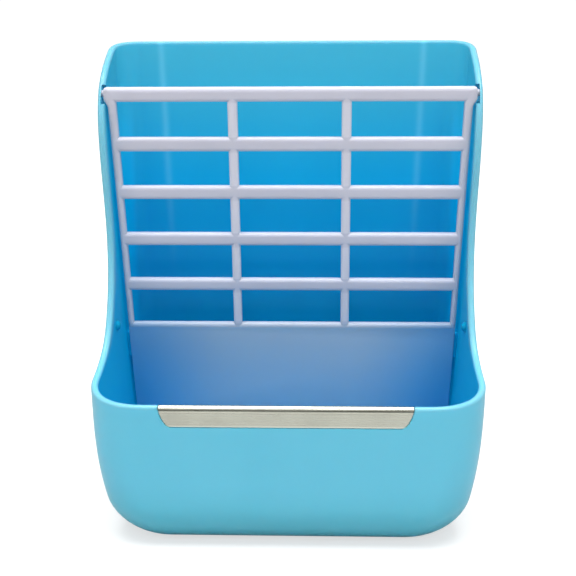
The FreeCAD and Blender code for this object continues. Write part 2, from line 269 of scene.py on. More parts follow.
def round_poly(points, radii, steps):
    """Closed polygon of 2-D points with each corner rounded by its own radius."""
    out = []
    count = len(points)
    for i, radius in enumerate(radii):
        before, corner, after = (np.array(points[(i + k) % count], float) for k in (-1, 0, 1))
        if radius <= 0:
            out.append(tuple(corner))
            continue
        a, b = before - corner, after - corner
        len_a, len_b = np.linalg.norm(a), np.linalg.norm(b)
        a, b = a / len_a, b / len_b
        half = math.acos(max(-1, min(1, float(a @ b)))) / 2
        cut = min(radius / math.tan(half), 0.49 * len_a, 0.49 * len_b)
        radius = cut * math.tan(half)
        centre = corner + (a + b) / np.linalg.norm(a + b) * (radius / math.sin(half))
        start, end = corner + a * cut - centre, corner + b * cut - centre
        angle0, angle1 = math.atan2(start[1], start[0]), math.atan2(end[1], end[0])
        sweep_angle = (angle1 - angle0 + PI) % (2 * PI) - PI
        for k in range(steps + 1):
            t = angle0 + sweep_angle * k / steps
            out.append((centre[0] + radius * math.cos(t), centre[1] + radius * math.sin(t)))
    return out


# ---------------------------------------------------------------------- shell
front_half_at, back_half_at, front_corner_at, back_corner_at = (
    cubic(LEVELS, row) for row in (FRONT_HALF, BACK_HALF, FRONT_CORNER_R, BACK_CORNER_R))


def plan(p, z, inset):
    """Point (x, D, z) of the shell's skin, right half. p runs 0..5 round the plan: back line,
    back corner, side, front corner, front line."""
    p, z, inset = np.broadcast_arrays(*(np.asarray(a, float) for a in (p, z, inset)))
    front_half = front_half_at(z)
    slope = (back_half_at(z) - front_half) / (DEPTH - GAUGE_D)
    front_d = FRONT_LEAN * (1 - z / RIM_Z) + inset
    back_d = DEPTH - inset
    front_r, back_r = front_corner_at(z) - inset, back_corner_at(z) - inset
    length = np.hypot(1, slope)
    c, s = 1 / length, slope / length

    def half(d):
        return front_half + slope * (d - GAUGE_D) - inset

    # centres of the two corner arcs
    fd, bd = front_d + front_r, back_d - back_r
    fx, bx = half(fd) - front_r / c, half(bd) - back_r / c
    side_angle = np.arctan2(-s, c)
    x = np.zeros_like(p)
    d = np.zeros_like(p)
    part = np.clip(p.astype(int), 0, 4)
    t = p - part
    k = part == 0
    x[k], d[k] = (t * bx)[k], back_d[k]
    k = part == 1
    a = PI / 2 + (side_angle - PI / 2) * t
    x[k], d[k] = (bx + back_r * np.cos(a))[k], (bd + back_r * np.sin(a))[k]
    k = part == 2
    x0, d0 = bx + back_r * c, bd - back_r * s
    x1, d1 = fx + front_r * c, fd - front_r * s
    x[k], d[k] = (x0 + (x1 - x0) * t)[k], (d0 + (d1 - d0) * t)[k]
    k = part == 3
    a = side_angle + (-PI / 2 - side_angle) * t
    x[k], d[k] = (fx + front_r * np.cos(a))[k], (fd + front_r * np.sin(a))[k]
    k = part == 4
    x[k], d[k] = (fx * (1 - t))[k], front_d[k]
    return np.stack([x, d, z.astype(float)], -1)


def rim_stations():
    """Rim of the right half from front centre to back centre, as arrays of p and z on the
    middle of the wall, with the indexes where the rising side edge starts and ends."""
    outline = np.array(SIDE_EDGE, float)
    chord = np.concatenate([[0], np.cumsum(np.hypot(*np.diff(outline, axis=0).T))])
    arc = np.linspace(0, chord[-1], 6001)
    edge_d, edge_z = cubic(chord, outline[:, 0])(arc), cubic(chord, outline[:, 1])(arc)
    low = arc < np.interp(100.0, edge_z, arc)
    high = edge_z > 206.0
    rising = edge_z > 70.8

    def z_low(d):
        return np.interp(d, edge_d[low], np.maximum(edge_z[low], RIM_Z))

    def z_high(d):
        return np.interp(d, edge_d[high], edge_z[high])

    def z_of_p(p, z_of_d, first):
        z = np.full_like(p, first)
        for _ in range(40):
            z = z_of_d(plan(p, z, WALL / 2)[..., 1])
        return z

    def p_of_z(z):
        """p on the side where the wall meets the side outline at height z, by bisection."""
        a, b = np.full_like(z, 2.0), np.full_like(z, 3.6)
        target = np.interp(z, edge_z[rising], edge_d[rising])
        for _ in range(50):
            middle = (a + b) / 2
            deeper = plan(middle, z, WALL / 2)[..., 1] > target
            a, b = np.where(deeper, middle, a), np.where(deeper, b, middle)
        return (a + b) / 2

    z_start, z_end = float(z_low(50.0)), 204.0
    p_start, p_end = (float(p_of_z(np.array([z]))[0]) for z in (z_start, z_end))
    p_front = np.concatenate([np.linspace(5, 4, 22, endpoint=False),
                              np.linspace(4, 3, 26, endpoint=False), np.linspace(3, p_start, 22)])
    z_front = z_of_p(p_front, z_low, 72.0)
    arc0, arc1 = (np.interp(z, edge_z[rising], arc[rising]) for z in (z_start, z_end))
    z_side = np.interp(np.linspace(arc0, arc1, 70)[1:-1], arc, edge_z)
    p_back = np.concatenate([np.linspace(p_end, 2, 26, endpoint=False),
                             np.linspace(2, 1, 22, endpoint=False), 1 - np.linspace(0, 0.06, 3),
                             np.linspace(0.93, 0.76, 18), np.linspace(0.72, 0, 14)])
    z_back = z_of_p(p_back, z_high, 215.0)
    z_back[0] = z_end
    return (np.concatenate([p_front, p_of_z(z_side), p_back]),
            np.concatenate([z_front, z_side, z_back]),
            len(p_front) - 1, len(p_front) + len(z_side))


def below_rim(p, z):
    """The rim's line moved into the wall by the radius of its rounding, as (p, z)."""
    tangent = np.gradient(plan(p, z, WALL / 2), axis=0)
    tangent[0] = (1, 0, 0)
    tangent[-1] = (-1, 0, 0)
    tangent /= np.linalg.norm(tangent, axis=1)[:, None]
    e, p_max = 1e-3, 4.9999
    ahead, behind = np.clip(p + e, 0, p_max), np.clip(p - e, 0, p_max)
    by_p = plan(ahead, z, WALL / 2) - plan(behind, z, WALL / 2)
    by_p /= (ahead - behind)[:, None]
    kept = p.clip(0, p_max)
    by_z = (plan(kept, z + e, WALL / 2) - plan(kept, z - e, WALL / 2)) / (2 * e)
    normal = np.cross(by_p, by_z)
    normal /= np.linalg.norm(normal, axis=1)[:, None]
    inward = np.cross(normal, tangent)
    inward /= np.linalg.norm(inward, axis=1)[:, None]
    # into the wall is down where the rim lies flat and backwards where it stands
    steep = np.abs(inward[:, 2]) > np.abs(inward[:, 1])
    wrong = np.where(steep, inward[:, 2] > 0, inward[:, 1] < 0)
    inward[wrong] *= -1
    # the same direction in terms of p and z
    g11, g12, g22 = (by_p * by_p).sum(1), (by_p * by_z).sum(1), (by_z * by_z).sum(1)
    b1, b2 = (inward * by_p).sum(1), (inward * by_z).sum(1)
    det = g11 * g22 - g12 ** 2
    p2 = p + RIM_ROUND * ((g22 * b1 - g12 * b2) / det)
    z2 = z + RIM_ROUND * ((g11 * b2 - g12 * b1) / det)
    p2[0], p2[-1] = 5.0, 0.0
    return p2, z2


def skin(p, z, inset):
    """Skin points; the inside of the back wall carries two shallow upright rib marks."""
    q = plan(p, z, inset)
    if inset == WALL:
        near = (np.abs(q[..., 0]) - RIB_X + RIB_SLANT * (RIB_TOP_Z - q[..., 2])) / RIB_WIDTH
        on = np.clip((q[..., 2] - 95) / 40, 0, 1) * (p < 1.0)
        q[..., 1] -= RIB_HEIGHT * np.exp(-near ** 2) * on
    return q


def build_shell():
    """Returns the shell, its rim's middle line and the points of its outer and inner skins."""
    rim_p, rim_z, start, end = rim_stations()
    low_p, low_z = below_rim(rim_p, rim_z)
    verts, faces, caps, skins = [], [], [], []

    def add(points):
        base = len(verts)
        verts.extend(map(tuple, to_m(points)))
        return base

    def grid(points, flip):
        """Faces of a grid of points [rows][columns]."""
        rows, columns = points.shape[:2]
        base = add(points.reshape(-1, 3))
        for i in range(rows - 1):
            for j in range(columns - 1):
                a = base + i * columns + j
                f = (a, a + 1, a + columns + 1, a + columns)
                faces.append(f[::-1] if flip else f)

    # columns of the low band, front centre to back centre
    seam_z = low_z[start]
    seam_p = np.interp(rim_p[end:], [0, 1, 2, rim_p[end]], [0, 1, 2, low_p[start]])
    floor_p = np.concatenate([rim_p[:start + 1], seam_p[1:]])
    band_p = np.concatenate([low_p[:start + 1], seam_p[1:]])
    band_z = np.concatenate([low_z[:start + 1], np.full(len(seam_p) - 1, seam_z)])
    rise = np.linspace(0, 1, 31)[:, None]
    # the raised back lies between the seam, the top and the rising side edge
    top_p, top_z = low_p[end:], low_z[end:]
    edge_p, edge_z = low_p[start:end + 1], low_z[start:end + 1]
    side_share = np.clip((seam_p - 2) / (seam_p[0] - 2), 0, 1)

    for inset, flip in ((0.0, False), (WALL, True)):
        first = len(verts)
        grid(skin(floor_p[None] + (band_p - floor_p)[None] * (rise ** 2),
                  FLOOR_R + (band_z - FLOOR_R)[None] * rise, inset), flip)
        length = np.hypot(np.diff(plan(edge_p, edge_z, inset)[:, 1]), np.diff(edge_z))
        t = np.concatenate([[0], np.cumsum(length)])
        t /= t[-1]
        tt = t[:, None]
        level = seam_z + (low_z[-1] - seam_z) * t
        grid_p = (1 - tt) * seam_p[None] + tt * top_p[None] \
            + side_share[None] * (edge_p - ((1 - t) * edge_p[0] + t * edge_p[-1]))[:, None]
        grid_z = level[:, None] + tt * (top_z - top_z[-1])[None] \
            + side_share[None] * (edge_z - (level + t * (top_z[0] - top_z[-1])))[:, None]
        grid(skin(grid_p, grid_z, inset), flip)
        # rounding between walls and floor, then the flat floor
        phi = np.linspace(0, PI / 2, 13)[:, None]
        radius = FLOOR_R - inset
        grid(plan(floor_p, FLOOR_R - radius * np.sin(phi), inset + radius * (1 - np.cos(phi))),
             not flip)
        skins.append(verts[first:])
        ring = plan(floor_p, inset, inset + radius)
        mirrored = ring[::-1].copy()
        mirrored[:, 0] *= -1
        right = add(ring)
        left = add(mirrored[1:-1])
        loop = list(range(right, right + len(ring))) + list(range(left, left + len(ring) - 2))
        caps.append(loop if flip else loop[::-1])

    outer, inner = plan(rim_p, rim_z, 0.0), plan(rim_p, rim_z, WALL)
    across = inner - outer
    across /= np.linalg.norm(across, axis=1)[:, None]

    def quarter(edge, lower, inward):
        """Quarter round from the wall's face up to the rim."""
        angles = [k / 6 * PI / 2 for k in range(7)]
        return [edge + (lower - edge) * (1 - math.sin(a)) + inward * RIM_ROUND * (1 - math.cos(a))
                for a in angles]

    grid(np.array(quarter(outer, plan(low_p, low_z, 0.0), across)
                  + quarter(inner, plan(low_p, low_z, WALL), -across)[::-1]), True)
    # left half
    half = len(verts)
    verts.extend([(-x, y, z) for x, y, z in verts])
    faces.extend([tuple(half + i for i in f)[::-1] for f in faces])
    faces.extend(caps)
    ob = clean(new_mesh("shell_body", verts, faces), 2e-6, 30)
    return ob, to_m((outer + inner) / 2), skins


shell, rim_path, skin_points = build_shell()


# ---------------------------------------------- fittings joined to and cut from the shell
def on_grille(q):
    """(x, v, n) in the grille's plane to (x, D, z)."""
    q = np.asarray(q, float)
    s, c = math.sin(TILT), math.cos(TILT)
    return np.stack([q[..., 0], GRILLE_D + q[..., 1] * s + q[..., 2] * c,
                     GRILLE_Z - q[..., 1] * c + q[..., 2] * s], -1)


PIN_D, PIN_Z = on_grille((0, PIN_V, PIN_N))[1:]


def ear_pocket():
    """Slot for the grille's ear, round at its back end."""
    outline = [(50, POCKET_Z - POCKET_R)]
    for k in range(25):
        a = -PI / 2 + PI * k / 24
        outline.append((PIN_D + POCKET_R * math.cos(a), POCKET_Z + POCKET_R * math.sin(a)))
    outline.append((50, POCKET_Z + POCKET_R))
    return prism_x("pocket", outline, 80.0, POCKET_X)


def pin_seat():
    return clean(loft("seat", [circle((x, PIN_D, PIN_Z), SEAT_R, 40) for x in (85.0, SEAT_X)]))


def nub():
    """Low dome on the side wall, blended into it by a flare."""
    profile = [     # (radius, height above the wall)
        (2.85, -1.6), (2.85, -0.3), (2.5, 0.02), (2.32, 0.25), (2.2, 0.55), (2.03, 0.85),
        (1.78, 1.13), (1.42, 1.4), (1.0, 1.57), (0.5, 1.68)]
    return clean(loft("nub", [circle((NUB_X - h, NUB_D, NUB_Z), r, 28) for r, h in profile]))


def ledge():
    """Block on the side wall just behind the lower sheet."""
    behind = BAFFLE_N[1] + 0.25
    low, up = on_grille((0, 140.0, behind)), on_grille((0, 126.0, behind))
    corners = [(up[1], up[2]), (up[1] + 6, up[2]), (low[1] + 5, low[2]), (low[1], low[2])]
    mid_d, mid_z = np.mean(corners, axis=0)
    outline = round_poly(corners, [1.2] * 4, 4)
    rings = []
    for x, shrink in ((86.0, 0.0), (80.2, 0.0), (79.75, 0.2), (79.5, 0.6)):
        rings.append(to_m([(x, d + (mid_d - d) * shrink * 0.22, z + (mid_z - z) * shrink * 0.11)
                           for d, z in outline]))
    return clean(loft("ledge", rings))


def lug(z0, z1):
    """D-shaped eye moulded on the back, its edges eased."""
    flare = [       # (spread in x, D from the hook's axis)
        (0.0, 0.0), (0.1, -1.6), (0.35, -2.9), (0.9, -4.0), (1.8, -4.8), (2.6, -5.2), (2.6, -6.4)]

    def ring(z, inset):
        r = LUG_R - inset
        outline = [(HOOK_X + r * math.cos(PI * k / 24), HOOK_D + r * math.sin(PI * k / 24))
                   for k in range(25)]
        outline += [(HOOK_X - r - spread, HOOK_D + d) for spread, d in flare]
        outline += [(HOOK_X + r + spread, HOOK_D + d) for spread, d in flare[::-1]]
        return to_m([(x, d, z) for x, d in outline])

    def ease_in(a):
        return LUG_EDGE_R * (1 - math.sin(a)), LUG_EDGE_R * (1 - math.cos(a))

    low = [ease_in(a) for a in np.linspace(PI / 2, 0, 5)]
    high = [ease_in(a) for a in np.linspace(0, PI / 2, 5)]
    return clean(loft("lug", [ring(z0 + h, g) for h, g in low] + [ring(z1 - h, g) for h, g in high]))


def lug_hole(z0, z1):
    return clean(loft("hole", [circle((HOOK_X, HOOK_D, z), LUG_HOLE_R, 40, "z")
                               for z in (z0 - 1, z1 + 1)]))


def front_face(z):
    """D of the front wall's outer face at height z."""
    return LEAN * (RIM_Z - z)


def guard_end(z):
    """Half-length of the strip's front leg at height z."""
    return float(np.interp(z, GUARD_FOOT + GUARD_ENDS[:, 0], GUARD_ENDS[:, 1]))


def guard_cutters():
    """The strip's recess in the rim: a slab in front and a saddle over the rim."""
    depth = GUARD_THICK + 0.05
    proud, top = -2.0, 73.0     # how far the cutters stand out in D and in z
    rows = [(-GUARD_GAP, 0.3), (-0.05, 1.0)]    # (height above the foot, share of the end gap)
    rows += [(h, 1.3) for h in (0.1, 0.45, 1.0, 1.8, 2.8, 3.8, 5.0, 6.2, 7.4, 8.4, 8.55)]

    def ring(x, d0, d1, z):
        return to_m([(-x, d0, z), (x, d0, z), (x, d1, z), (-x, d1, z)])

    rings = []
    for height, share in rows:
        z = GUARD_FOOT + height
        x = guard_end(max(z, GUARD_FOOT + 0.05)) + GUARD_GAP * share
        rings.append(ring(x, front_face(z) + proud, front_face(z) + depth, z))
    x = GUARD_HALF + GUARD_GAP
    rings.append(ring(x, proud, depth, top))
    low = GUARD_BACK_FOOT - GUARD_GAP
    saddle = [(depth - 0.2, RIM_Z - depth), (WALL - depth, RIM_Z - depth),
              (WALL - depth + LEAN * 4, low), (WALL + 2.5, low), (WALL + 2.5, top),
              (depth - 0.2, top)]
    return clean(loft("guard_slab", rings)), prism_x("guard_saddle", saddle, -x, x)


boolean(shell, join(*(both_sides(ob) for ob in (nub(), ledge(), lug(*LUG_UP), lug(*LUG_LOW)))),
        "UNION")
boolean(shell, join(*(both_sides(ob) for ob in (ear_pocket(), lug_hole(*LUG_UP),
                                                lug_hole(*LUG_LOW)))), "DIFFERENCE")
for cutter in (both_sides(pin_seat()), *guard_cutters()):
    boolean(shell, cutter, "DIFFERENCE")
clean(shell, 2e-6, 32)


# --------------------------------------------------------------------- grille
BAR_ROUND = 1.9         # width of a bar's rounded edge
BAR_ROUND_DEPTH = 1.2
TOP_V = 2.4             # where the top border's rounding ends
# across a rounded edge: (fraction of its width, n)
FRONT_EDGE = [(f, BAR_ROUND_DEPTH * n) for f, n in (
    (0.0, 1.0), (0.03, 0.80), (0.10, 0.60), (0.20, 0.42), (0.32, 0.27), (0.46, 0.15),
    (0.62, 0.065), (0.80, 0.015), (1.0, 0.0))]
BACK_EDGE = [(f, GRILLE_THICK - n) for f, n in ((0.0, 0.5), (0.06, 0.16), (0.2, 0.0), (1.0, 0.0))]


def grille_half(v):
    return table(GRILLE_HALF, v)


def window_half(v):
    return line(WINDOW_HALF, v)


def mullion_half(v):
    return line(MULLION_HALF, v)


def ridge(v):
    """Middle of the side border."""
    return (grille_half(v) + window_half(v)) / 2


def ear_half(v):
    half = grille_half(v)
    return half + (EAR_X - half) * ease((EAR_END_V - v) / EAR_BLEND)


class Sheet:
    """Mesh in the grille's (x, v, n), whose shared points are stored once."""

    def __init__(self):
        self.verts, self.faces, self.index = [], [], {}

    def vert(self, p):
        key = (round(p[0], 5), round(p[1], 5), round(p[2], 5))
        if key not in self.index:
            self.index[key] = len(self.verts)
            self.verts.append(key)
        return self.index[key]

    def strip(self, line_a, line_b, profile, flip, closed=False):
        """Faces between two (x, v) lines, following a profile of (fraction, n)."""
        a, b = np.array(line_a, float), np.array(line_b, float)
        count = len(a)
        rows = [np.column_stack([a + (b - a) * f, np.full(count, n)]) for f, n in profile]
        for a, b in zip(rows, rows[1:]):
            for i in range(count if closed else count - 1):
                j = (i + 1) % count
                q = [self.vert(p) for p in (a[i], a[j], b[j], b[i])]
                q = [v for k, v in enumerate(q) if v != q[k - 1]]
                if len(q) >= 3:
                    self.faces.append(tuple(q[::-1] if flip else q))

    def flat(self, line_a, line_b, n, flip):
        self.strip(line_a, line_b, ((0, n), (1, n)), flip)

    def wall(self, loop, flip, closed=False):
        """Faces joining the front and back profiles along a line."""
        front, back = FRONT_EDGE[0][1], BACK_EDGE[0][1]
        count = len(loop)
        for i in range(count if closed else count - 1):
            p, q = loop[i], loop[(i + 1) % count]
            f = [self.vert((*p, front)), self.vert((*q, front)),
                 self.vert((*q, back)), self.vert((*p, back))]
            self.faces.append(tuple(f[::-1] if flip else f))


def cuts(length, extra=()):
    """Distances at which an edge is divided, close together near its ends."""
    return [0.0, 0.28, 0.9, 2.0, *extra, length / 2] \
        + [length - q for q in (2.0, 0.9, 0.28, 0.0)]


def outline(left, right, v0, v1):
    """The four sides of an opening, clockwise from the top left."""
    def across(v):
        a, b = float(left(v)), float(right(v))
        return [(a + t, v) for t in cuts(b - a)]

    def down(side):
        return [(float(side(v0 + t)), v0 + t) for t in cuts(v1 - v0, (3.1, 4.3, 5.6))]
    return across(v0), down(right), across(v1)[::-1], down(left)[::-1]


def grille_windows(sheet):
    """Five rows of three windows. Returns each row's upper and lower lines and right side."""
    columns = (     # left and right of the opening, then of the rounding round it
        (lambda v: -window_half(v), lambda v: -MULLION_X - mullion_half(v),
         lambda v: -ridge(v), lambda v: -MULLION_X),
        (lambda v: -MULLION_X + mullion_half(v), lambda v: MULLION_X - mullion_half(v),
         lambda v: -MULLION_X, lambda v: MULLION_X),
        (lambda v: MULLION_X + mullion_half(v), window_half,
         lambda v: MULLION_X, ridge))
    tops, bottoms, sides = [], [], []
    for i, bar in enumerate(BAR_HEIGHTS):
        v0, v1 = i * PITCH + bar, (i + 1) * PITCH
        top, bottom = [], []
        for left, right, outer_left, outer_right in columns:
            inner = outline(left, right, v0, v1)
            outer = outline(outer_left, outer_right, v0 - BAR_ROUND, v1 + BAR_ROUND)
            hole = [p for side in inner for p in side[:-1]]
            around = [p for side in outer for p in side[:-1]]
            sheet.strip(hole, around, FRONT_EDGE, False, True)
            sheet.strip(hole, around, BACK_EDGE, True, True)
            sheet.wall(hole, True, True)
            # neighbouring windows share an end point
            top += outer[0][1 if top else 0:]
            bottom += outer[2][::-1][1 if bottom else 0:]
        tops.append(top)
        bottoms.append(bottom)
        sides.append(outer[1])
    for upper, lower in zip(bottoms, tops[1:]):
        sheet.flat(upper, lower, 0.0, True)
        sheet.flat(upper, lower, GRILLE_THICK, False)
    return tops, bottoms, sides


def grille_border(sheet, tops, bottoms, sides):
    """Rounded border from the middle of the top, round the ear and down to the lip."""
    top = [p for p in tops[0] if p[0] >= 0]
    corner = (float(ridge(TOP_V)), TOP_V)
    inner = [(x, TOP_V) for x, v in top[:-1]]
    outer = [(x, 0.0) for x, v in top[:-1]]
    for n, flip in ((0.0, True), (GRILLE_THICK, False)):
        for s in (1, -1):
            sheet.flat([(s * x, v) for x, v in inner + [corner]],
                       [(s * x, v) for x, v in top], n, flip == (s == 1))
    inner += [corner] * 8
    outer += [(85.8, 0.0), (86.7, 0.03), (87.35, 0.18), (87.82, 0.5), (88.13, 0.98), (88.28, 1.6),
              (EAR_X, 2.4), (EAR_X, 3.3)]
    for x, v in (p for side in sides for p in side):
        inner.append((x, v))
        outer.append((float(ear_half(v)), v))
    end = LIP_V + LIP_HEIGHT
    end_half = float(grille_half(end))
    inner += [inner[-1]] * 2
    outer += [(end_half - 0.05, end - 0.35), (end_half - 0.4, end)]
    for x, v in [p for p in bottoms[-1] if p[0] >= 0][::-1][1:]:
        inner.append((x, v))
        outer.append((x, end))
    for s in (1, -1):
        a = [(s * x, v) for x, v in outer]
        b = [(s * x, v) for x, v in inner]
        sheet.strip(a, b, FRONT_EDGE, s == -1)
        sheet.strip(a, b, BACK_EDGE, s == 1)
        sheet.wall(a, s == 1)


def build_grille():
    sheet = Sheet()
    grille_border(sheet, *grille_windows(sheet))
    return clean(new_mesh("hay_grille_body", to_m(on_grille(sheet.verts)), sheet.faces), 1e-6, 60)


def build_baffle():
    """Solid lower sheet with eased edges and trimmed lower corners."""
    corner, end = 7.0, BAFFLE_END
    v0 = LIP_V + 1.5

    def half(v):
        return float(grille_half(v))

    right = [(half(v0) - 0.25, v0), (half(124), 124.0), (half(130), 130.0), (half(150), 150.0),
             (half(end - corner), end - corner), (half(end) - 2.2, end - 2.2),
             (half(end) - corner, end)]
    radii = [0, 0, 0, 0, 2.5, 3.0, 2.5]
    edge = np.array(round_poly(right + [(0, end)] + [(-x, v) for x, v in right[::-1]],
                               radii + [0] + radii[::-1], 5))
    along = np.roll(edge, -1, axis=0) - np.roll(edge, 1, axis=0)
    along /= np.linalg.norm(along, axis=1)[:, None]
    inward = np.stack([-along[:, 1], along[:, 0]], -1)
    n0, n1 = BAFFLE_N
    profile = [     # (inset from the outline, n)
        (0.75, n0), (0.4, n0 + 0.06), (0.15, n0 + 0.25), (0.02, n0 + 0.5), (0.0, n0 + 0.8),
        (0.0, n1 - 0.5), (0.1, n1 - 0.2), (0.35, n1 - 0.04), (0.6, n1)]
    rings = [to_m(on_grille(np.column_stack([edge + inward * inset, np.full(len(edge), n)])))
             for inset, n in profile]
    return clean(loft("baffle_sheet", rings), 1e-6, 40)


def pivot_pin():
    """Pin on the back of the ear, standing out sideways."""
    profile = [     # (x, radius)
        (83.5, 1.7), (83.8, PIN_R), (PIN_X - 0.4, PIN_R), (PIN_X - 0.13, PIN_R - 0.12),
        (PIN_X, PIN_R - 0.42)]
    return clean(loft("pin", [circle((x, PIN_D, PIN_Z), r, 36) for x, r in profile]))


def pin_pad():
    """Square foot that carries the pin."""
    v0, v1 = PIN_V - PAD_HALF, PIN_V + PAD_HALF
    square = round_poly([(PAD_X0, v0), (PAD_X1, v0), (PAD_X1, v1), (PAD_X0, v1)], [0.5] * 4, 3)
    mid_x = (PAD_X0 + PAD_X1) / 2
    rings = []
    for n, taper in ((GRILLE_THICK - 1.4, -0.15), (GRILLE_THICK - 0.2, -0.05),
                     (PIN_N - 0.3, 0.0), (PIN_N + 0.1, 0.12)):
        size = 1 - taper * 0.4
        rings.append(to_m(on_grille([(mid_x + (x - mid_x) * size, PIN_V + (v - PIN_V) * size, n)
                                     for x, v in square])))
    return clean(loft("pad", rings))


grille = build_grille()
for part in (build_baffle(), both_sides(pin_pad()), both_sides(pivot_pin())):
    boolean(grille, part, "UNION")
clean(grille, 1e-6, 40)


# ---------------------------------------------------------------- guard strip
def guard_profile():
    """Outer and inner (D, z) lines of the strip, from the front foot over to the back foot."""
    foot, back_foot = GUARD_FOOT, GUARD_BACK_FOOT
    shift = RIM_Z - 70.5        # the roll's heights are given for a rim at 70.5

    def face(z):
        return front_face(z) + GUARD_SUNK

    def back(z):
        return WALL + front_face(z)

    outer = [(face(foot) + 0.16, foot), (face(foot) + 0.03, foot + 0.06), (face(foot), foot + 0.22)]
    outer += [(face(z) + 0.06 * math.sin(PI * (z - foot) / 7.2), z)
              for z in np.linspace(foot + 0.6, 67.4 + shift, 9)]
    # the crease under the roll
    outer += [(face(z + shift) + sunk, z + shift)
              for z, sunk in ((67.65, 0.08), (67.85, 0.2), (68.1, 0.27))]
    outer.append((face(68.4 + shift) + 0.2, 68.42 + shift))
    outer += [(d, z + shift) for d, z in (
        (0.16, 68.72), (0.06, 68.84), (0.02, 68.93), (0.05, 69.04), (0.2, 69.32), (0.42, 69.64),
        (0.7, 69.97), (1.0, 70.24), (1.32, 70.45), (1.65, 70.57), (2.0, 70.6), (2.4, 70.5),
        (2.75, 70.27), (3.05, 69.9), (WALL + LEAN * 1.2, 69.3))]
    outer += [(back(z), z) for z in (68.2 + shift, 66.5 + shift, back_foot + 0.25)]
    outer += [(back(back_foot) - 0.06, back_foot + 0.05), (back(back_foot) - 0.18, back_foot)]

    # the inner line is a plain arch between two straight legs
    arch, back_leg = 12, len(outer) - 7     # indexes where the arch and the back leg start
    spring_z = 68.3 + shift
    inner = []
    for k, (_, z) in enumerate(outer):
        if k < arch:
            inner.append((front_face(z) + GUARD_THICK, z if k > 2 else foot + 0.02 * k))
        elif k >= back_leg:
            inner.append((WALL - GUARD_THICK + front_face(z), z))
        else:
            a = PI - (k - arch) / (back_leg - arch) * PI
            inner.append((WALL / 2 + (WALL / 2 - GUARD_THICK) * math.cos(a),
                          spring_z + (RIM_Z - GUARD_THICK - spring_z) * math.sin(a) ** 0.6))
    return np.array(outer), np.array(inner)


def build_guard():
    """Folded steel strip: rounded roll over the rim, a crease, and a flat front leg."""
    outer, inner = guard_profile()
    count = len(outer)
    loop = np.concatenate([outer, inner[::-1]])
    middle = (loop + np.concatenate([inner, outer[::-1]])) / 2
    ends = np.array([guard_end(z) if d < 1.2 else GUARD_HALF for d, z in loop])
    on_face = np.abs(outer[:, 1] - 63.8) < 3.0
    eased = 0.0012      # share of the length over which each end is eased
    stations = [0.0, eased, 0.004, 0.012, 0.04, *np.linspace(0.08, 0.92, 22),
                0.96, 0.988, 0.996, 0.9988, 1.0]
    rings = []
    for s in stations:
        thin = 0.12 * max(0.0, 1 - min(s, 1 - s) / eased)
        q = loop + (middle - loop) * thin * 2
        x = -ends + 2 * ends * s
        if 0.002 < s < 0.998:
            # the face is never quite even
            wave = 0.02 * np.sin(x * 0.21 + 0.7) + 0.015 * np.sin(x * 0.083)
            q[:count, 0] += wave[:count] * on_face
        rings.append(to_m(np.column_stack([x, q])))
    return clean(loft("chew_guard_strip", rings), 1e-6, 45)


guard = build_guard()


# ----------------------------------------------------------- hooks and springs
def sweep(name, path, radius, sides, start_round, tip_round):
    """Round wire along (x, D, z) points; the ends are rounded by shares of its radius."""
    path = np.array(path, float)
    tangent = np.gradient(path, axis=0)
    tangent /= np.linalg.norm(tangent, axis=1)[:, None]
    first, last = tangent[0], tangent[-1]
    u = np.cross(first, (1.0, 0.0, 0.0))
    u /= np.linalg.norm(u)
    rings = []

    def ring(centre, along, r):
        w = np.cross(along, u)
        turns = [2 * PI * i / sides for i in range(sides)]
        rings.append(to_m([centre + r * (math.cos(t) * u + math.sin(t) * w) for t in turns]))

    for k in range(5):
        a = k / 5 * PI / 2
        ring(path[0] + first * start_round * radius * (1 - math.sin(a)), first,
             radius * ((1 - start_round) + start_round * math.sin(a)))
    start_length, tip_length = start_round * radius, tip_round * radius
    run = np.concatenate([[0], np.cumsum(np.linalg.norm(np.diff(path, axis=0), axis=1))])
    for point, along, at in zip(path, tangent, run):
        u = u - along * (u @ along)
        u /= np.linalg.norm(u)
        if start_length < at < run[-1] - tip_length:
            ring(point, along, radius)
    for k in range(6):
        a = k / 6 * PI / 2
        ring(path[-1] - last * tip_length * (1 - math.sin(a)), last,
             radius * ((1 - tip_round) + tip_round * math.cos(a)))
    return clean(loft(name, rings), 1e-6, 50)


def hook_path(x):
    """Straight up, over backwards in a half circle and down to the tip."""
    path = [(x, HOOK_D, z) for z in np.linspace(HOOK_LOW, HOOK_BEND_Z, 40)]
    for a in np.linspace(PI, 0, 25)[1:]:
        path.append((x, HOOK_D + HOOK_BEND_R + HOOK_BEND_R * math.cos(a),
                     HOOK_BEND_Z + HOOK_BEND_R * math.sin(a)))
    return path + [(x, HOOK_D + 2 * HOOK_BEND_R, z)
                   for z in np.linspace(HOOK_BEND_Z, HOOK_TIP - HOOK_R, 10)[1:]]


def spring_path(x):
    """Coil between washer and upper eye, its pitch easing down at the closed ends."""
    clear = 0.06
    z0 = WASHER[1] + SPRING_WIRE_R + clear
    z1 = LUG_UP[0] - SPRING_WIRE_R - clear
    turns = SPRING_TURNS + 1.6
    per_turn = 30
    count = int(turns * per_turn)
    t = np.arange(count + 1) / count * turns
    closed = (2 * SPRING_WIRE_R + 0.02) / 3.2       # pitch at the ends, as a share of the middle's
    pitch = closed + (1 - closed) * ease((np.minimum(t, turns - t) - 0.55) / 0.9)
    rise = np.concatenate([[0], np.cumsum((pitch[1:] + pitch[:-1]) / 2)])
    rise = z0 + (z1 - z0) * rise / rise[-1]
    angles = [2 * PI * i / per_turn for i in range(count + 1)]
    return [(x + SPRING_R * math.cos(a), HOOK_D + SPRING_R * math.sin(a), z)
            for a, z in zip(angles, rise)]


